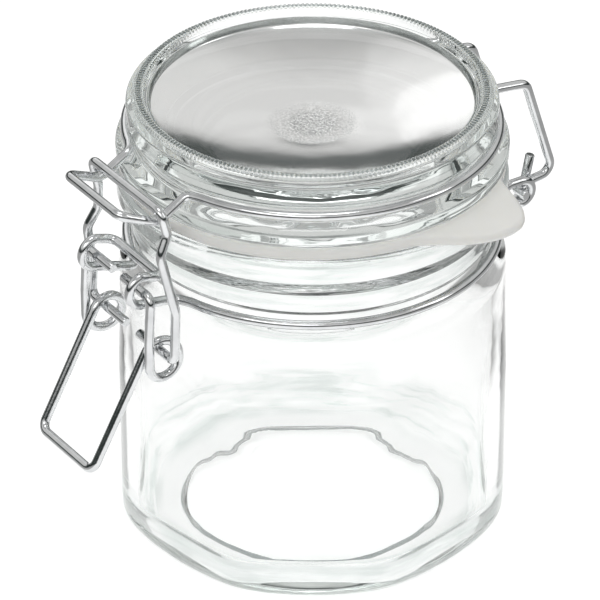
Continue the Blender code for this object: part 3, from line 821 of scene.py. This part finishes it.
def make_floor():
    """A pale floor with painted light: a white lane that glows a little, as wide as the camera's
    view of it. The floor's own X runs across that view and its Y away from the camera."""
    half = 4.0
    steps = 8
    verts = []
    faces = []
    for row in range(steps + 1):
        for column in range(steps + 1):
            verts.append((half * (2.0 * column / steps - 1.0), half * (2.0 * row / steps - 1.0),
                          -0.0002))
    for row in range(steps):
        for column in range(steps):
            corner = row * (steps + 1) + column
            faces.append((corner, corner + 1, corner + steps + 2, corner + steps + 1))
    mesh = bpy.data.meshes.new("floor")
    mesh.from_pydata(verts, [], faces)
    floor = link(bpy.data.objects.new("floor", mesh))
    floor.rotation_euler = (0.0, 0.0, CAMERA_AZIMUTH)
    made, tree, shader, _ = new_material("pale_floor")
    mesh.materials.append(made)
    shader.inputs["Roughness"].default_value = 0.9
    shader.inputs["Specular IOR Level"].default_value = 0.1
    parts = tree.nodes.new("ShaderNodeSeparateXYZ")
    tree.links.new(object_coordinates(tree), parts.inputs["Vector"])
    side = add_node(tree, "ShaderNodeMath", operation="ABSOLUTE")
    tree.links.new(parts.outputs["X"], side.inputs[0])
    share = add_node(tree, "ShaderNodeMath", operation="DIVIDE")
    tree.links.new(side.outputs["Value"], share.inputs[0])
    tree.links.new(ramp(tree, parts.outputs["Y"], -LANE_FRONT, 0.0, LANE_FRONT_WIDTH,
                        LANE_HALF_WIDTH), share.inputs[1])
    ends = product(tree, ramp(tree, parts.outputs["Y"], -LANE_FRONT - 0.2, -LANE_FRONT, 0.0, 1.0),
                   ramp(tree, parts.outputs["Y"], LANE_BACK, LANE_BACK + 0.06, 1.0, 0.0))
    # painted light: the lane is lighter and glows, and the floor round it is darker
    painted_light_lane = product(tree, ramp(tree, share.outputs["Value"], 1.0, 1.4, 1.0, 0.0), ends)
    tree.links.new(ramp(tree, painted_light_lane, 0.0, 1.0, FLOOR_AWAY, LANE_PAINTED_LIGHT), shader.inputs["Base Color"])
    shader.inputs["Emission Color"].default_value = (1.0, 1.0, 1.0, 1.0)
    tree.links.new(ramp(tree, painted_light_lane, 0.0, 1.0, 0.0, LANE_PAINTED_GLOW), shader.inputs["Emission Strength"])


def make_world():
    world = bpy.data.worlds.new("studio")
    bpy.context.scene.world = world
    world.use_nodes = True
    tree = world.node_tree
    background = tree.nodes["Background"]
    direction = tree.nodes.new("ShaderNodeTexCoord").outputs["Generated"]
    parts = tree.nodes.new("ShaderNodeSeparateXYZ")
    tree.links.new(direction, parts.inputs["Vector"])
    colours = tree.nodes.new("ShaderNodeValToRGB")
    stops = colours.color_ramp
    stops.elements[0].position = 0.0
    stops.elements[0].color = (0.30, 0.30, 0.30, 1.0)
    stops.elements[1].position = 1.0
    stops.elements[1].color = (0.70, 0.70, 0.70, 1.0)
    for position, level in ((0.49, 0.03), (0.62, 0.05), (0.645, 0.48), (0.69, 0.69), (0.85, 0.67),
                            (0.92, 0.42)):
        tint = (0.80, 1.0, 0.95) if level < 0.1 else (1.0, 1.0, 0.985)
        stops.elements.new(position).color = tuple(level * part for part in tint) + (1.0,)
    tree.links.new(ramp(tree, parts.outputs["Z"], -1.0, 1.0, 0.0, 1.0), colours.inputs["Fac"])
    tree.links.new(colours.outputs["Color"], background.inputs["Color"])
    background.inputs["Strength"].default_value = 1.0


def add_softbox(name, location, size, power, roll=0.0):
    light = bpy.data.lights.new(name, "AREA")
    light.shape = "RECTANGLE"
    light.size = size[0]
    light.size_y = size[1]
    light.energy = power
    made = link(bpy.data.objects.new(name, light))
    made.location = location
    towards = Vector((0.0, 0.0, CAMERA_TARGET_HEIGHT)) - Vector(location)
    turn = towards.to_track_quat("-Z", "Y") @ Quaternion((0.0, 0.0, 1.0), radians(roll))
    made.rotation_euler = turn.to_euler()
    return made


def around(azimuth, elevation, distance):
    """A place seen from the jar, with 0 degrees at the camera's azimuth."""
    turn = CAMERA_AZIMUTH + radians(azimuth)
    lift = radians(elevation)
    return (distance * sin(turn) * cos(lift), -distance * cos(turn) * cos(lift),
            distance * sin(lift))


def make_camera():
    camera = bpy.data.cameras.new("camera")
    camera.lens = CAMERA_LENS
    camera.sensor_width = SENSOR_WIDTH
    camera.shift_x = (PHOTO_SIZE / 2.0 - AXIS_PIXEL_X) / PHOTO_SIZE
    camera.clip_end = 20.0
    made = link(bpy.data.objects.new("camera", camera))
    back = Vector((sin(CAMERA_AZIMUTH) * cos(CAMERA_PITCH),
                   -cos(CAMERA_AZIMUTH) * cos(CAMERA_PITCH), sin(CAMERA_PITCH)))
    made.location = Vector((0.0, 0.0, CAMERA_TARGET_HEIGHT)) + back * CAMERA_DISTANCE
    made.rotation_euler = back.to_track_quat("Z", "Y").to_euler()
    bpy.context.scene.camera = made


# Assembly

def dress(piece, node, body):
    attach(piece, body)
    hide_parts(node)


make_camera()
make_floor()
make_world()
add_softbox("far_left_softbox", around(-160.5, 29.0, 1.6), (0.58, 0.60), 0.30, -17.0)
add_softbox("far_left_veil", around(-161.0, 36.0, 1.65), (0.62, 1.08), 0.22, -17.0)
add_softbox("right_softbox", around(80.0, 35.0, 1.6), (0.35, 1.0), 1.7)
add_softbox("top_softbox", around(0.0, 88.0, 1.4), (0.5, 0.5), 2.4)
add_softbox("front_softbox", around(-20.0, 44.0, 1.5), (1.0, 0.6), 2.6)

steel = steel_material()
dress(make_jar(jar_glass_material()), "jar_body", "jar")
dress(make_lid(lid_glass_material()), "lid", "jar")
dress(make_gasket(silicone_material()), "gasket", "jar")
dress(make_wire("lid_wire_bright", lid_wire_points(), steel), "lid_wire", "jar")
dress(make_wire("neck_wire_bright", neck_wire_points(), steel), "neck_wire", "jar")
dress(make_wire("lever_bright", lever_points(), steel), "lever", "clip_lever")
dress(make_wire("bail_bright", bail_points(), steel), "bail", "clip_bail")

bpy.context.scene.view_settings.view_transform = "Standard"
